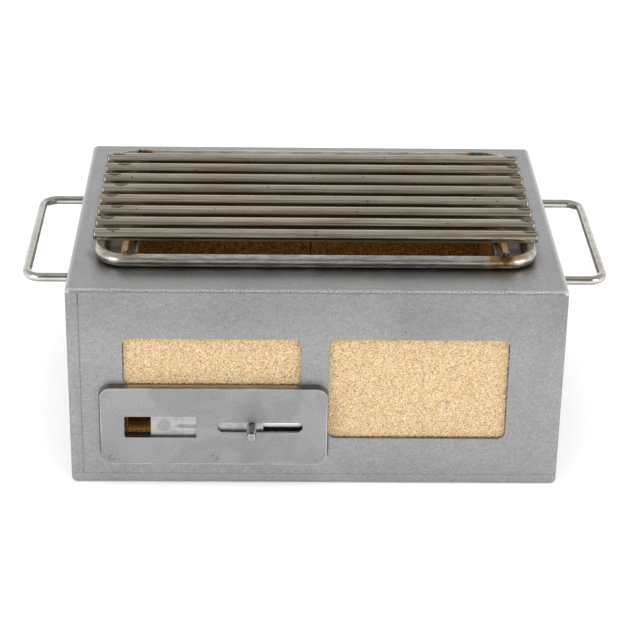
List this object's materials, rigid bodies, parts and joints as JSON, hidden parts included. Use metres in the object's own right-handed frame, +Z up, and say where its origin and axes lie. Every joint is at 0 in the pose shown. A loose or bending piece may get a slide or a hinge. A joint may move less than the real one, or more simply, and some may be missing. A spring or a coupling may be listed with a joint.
{
  "type": "hibachi grill",
  "caption": "Table-top hibachi grill: firebrick-lined steel box with front windows, a sliding air damper, side carrying handles and a lift-off welded rod grate.",
  "frame": {"origin": "middle of the casing's underside, on the surface it stands on", "axes": "+X to the right and +Y to the back seen from the vent side, +Z up; +X is also the longest extent, across the two handles"},
  "size_m": [0.3836, 0.2641, 0.1532],
  "materials": {
    "casing_steel": "matt mill finish",
    "vent_steel": "mottled matt mill finish",
    "damper_steel": "satin",
    "handle_steel": "polished, straw heat tint at the welds",
    "weld_bead": "heat tinted",
    "grate_steel": "satin with lengthwise grain",
    "fire_grate_steel": "dull, heat darkened",
    "firebrick": "granular, matt"
  },
  "bodies": {
    "casing": {"casing_walls": "casing_steel", "top_panel": "casing_steel", "base_tray": "casing_steel", "vent_cover": "vent_steel", "vent_guide_upper": "vent_steel", "vent_guide_lower": "vent_steel", "handle_left": "handle_steel", "handle_right": "handle_steel", "handle_welds_left": "weld_bead", "handle_welds_right": "weld_bead", "front_brick_left": "firebrick", "front_brick_right": "firebrick", "back_brick_left": "firebrick", "back_brick_right": "firebrick", "side_brick_left": "firebrick", "side_brick_right": "firebrick", "base_brick_left": "firebrick", "base_brick_right": "firebrick"},
    "vent_slider": {"slider_plate": "damper_steel", "slider_pin": "damper_steel"},
    "cooking_grate": {"grate_frame": "grate_steel", "grate_bar_1": "grate_steel", "grate_bar_2": "grate_steel", "grate_bar_3": "grate_steel", "grate_bar_4": "grate_steel", "grate_bar_5": "grate_steel", "grate_bar_6": "grate_steel", "grate_bar_7": "grate_steel", "grate_bar_8": "grate_steel", "cross_strap_left": "grate_steel", "cross_strap_right": "grate_steel", "bar_welds": "weld_bead", "strap_welds": "weld_bead"},
    "charcoal_grate": {"charcoal_grate_frame": "fire_grate_steel", "charcoal_grate_rods": "fire_grate_steel"}
  },
  "joints": [
    {"name": "vent_slide", "type": "slide", "parent": "casing", "child": "vent_slider", "axis": [1, 0, 0], "range_m": [-0.0184, 0.0293]},
    {"name": "grate_lift", "type": "slide", "parent": "casing", "child": "cooking_grate", "axis": [0, 0, 1], "range_m": [0, 0.08]},
    {"name": "charcoal_grate_lift", "type": "slide", "parent": "casing", "child": "charcoal_grate", "axis": [0, 0, 1], "range_m": [0, 0.06]}
  ]
}
